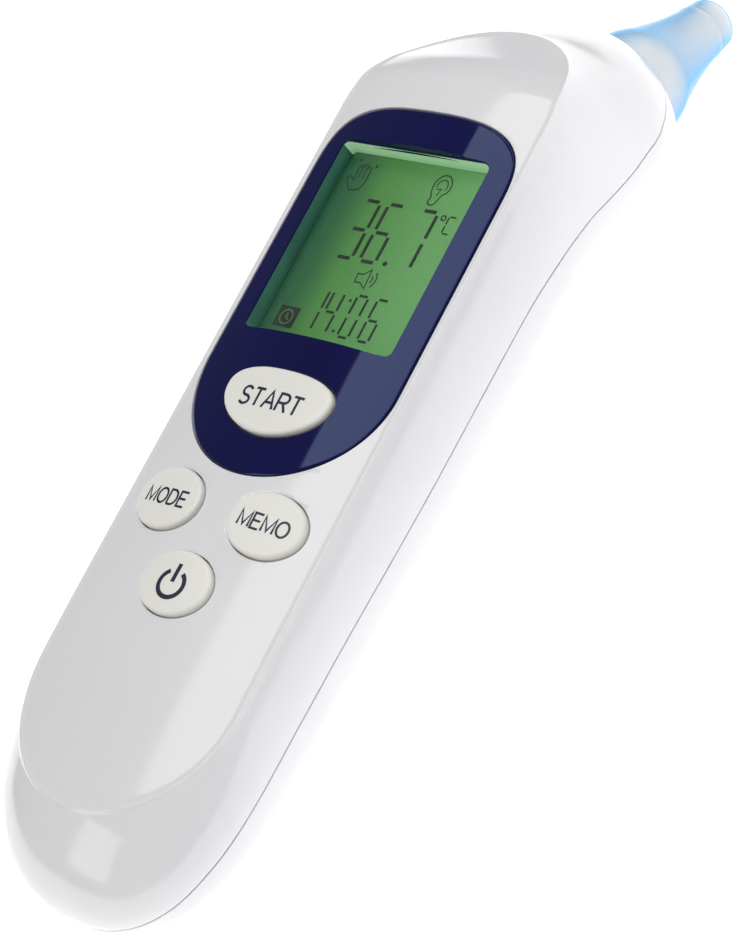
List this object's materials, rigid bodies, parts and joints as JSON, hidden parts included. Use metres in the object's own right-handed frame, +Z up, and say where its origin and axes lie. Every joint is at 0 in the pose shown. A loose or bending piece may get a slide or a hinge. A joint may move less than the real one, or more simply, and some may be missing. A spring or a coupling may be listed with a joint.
{
  "type": "infrared ear thermometer",
  "caption": "Hand-held infrared ear thermometer with a long oval face, display panel, push keys, sliding battery door and a pull-off probe cover on an angled probe.",
  "frame": {"origin": "centre of the bounding box at the level it rests on, with the thermometer lying on its back", "axes": "+Z up, +Y along the handle towards the probe, +X to the right seen from the handle's end with the display up"},
  "size_m": [0.0368, 0.1546, 0.0374],
  "materials": {
    "shell": "glossy white ABS",
    "panel": "glossy dark navy acrylic",
    "lens": "clear acrylic window",
    "key": "satin ivory keys",
    "lcd": "green transflective display glass",
    "frame": "moulded white",
    "diffuser": "milky acrylic",
    "board": "solder mask over glass-epoxy",
    "switch": "tinned steel",
    "chip": "black epoxy",
    "flex": "amber polyimide",
    "collar": "glossy white ABS",
    "barrel": "light grey moulded",
    "ir_window": "dark infrared window",
    "gold": "gold-plated bore",
    "steel": "plated steel",
    "aluminium": "turned aluminium",
    "film": "translucent pale-blue polypropylene",
    "cell": "printed foil sleeve"
  },
  "bodies": {
    "housing": {"front_shell": "shell", "rear_shell": "shell", "display_panel": "panel", "display_lens": "lens", "lcd_glass": "lcd", "lcd_frame": "frame", "light_guide": "diffuser", "main_board": "board", "tact_switches": "switch", "controller_chip": "chip", "memory_chip": "chip", "buzzer": "chip", "sensor_flex": "flex", "probe_collar": "collar", "probe_barrel": "barrel", "probe_window": "ir_window", "waveguide_tube": "gold", "sensor_can": "steel", "sensor_holder": "aluminium", "battery_left": "cell", "battery_right": "cell", "battery_springs": "steel", "battery_contacts": "steel", "case_screws": "steel"},
    "start": {"start_key": "key"},
    "mode": {"mode_key": "key"},
    "memo": {"memo_key": "key"},
    "power": {"power_key": "key"},
    "door": {"battery_door": "shell"},
    "cover": {"probe_cover": "film"}
  },
  "joints": [
    {"name": "start_press", "type": "slide", "parent": "housing", "child": "start", "axis": [0, 0.1733, -0.9849], "range_m": [0, 0.0005], "stiffness_N_per_m": 400, "springref_m": -0.001},
    {"name": "mode_press", "type": "slide", "parent": "housing", "child": "mode", "axis": [0, 0.1733, -0.9849], "range_m": [0, 0.0005], "stiffness_N_per_m": 400, "springref_m": -0.001},
    {"name": "memo_press", "type": "slide", "parent": "housing", "child": "memo", "axis": [0, 0.1733, -0.9849], "range_m": [0, 0.0005], "stiffness_N_per_m": 400, "springref_m": -0.001},
    {"name": "power_press", "type": "slide", "parent": "housing", "child": "power", "axis": [0, 0.1733, -0.9849], "range_m": [0, 0.0005], "stiffness_N_per_m": 400, "springref_m": -0.001},
    {"name": "door_slide", "type": "slide", "parent": "housing", "child": "door", "axis": [0, -0.9849, -0.1733], "range_m": [0, 0.062]},
    {"name": "cover_pull", "type": "slide", "parent": "housing", "child": "cover", "axis": [0, 0.952, -0.306], "range_m": [0, 0.024]}
  ]
}
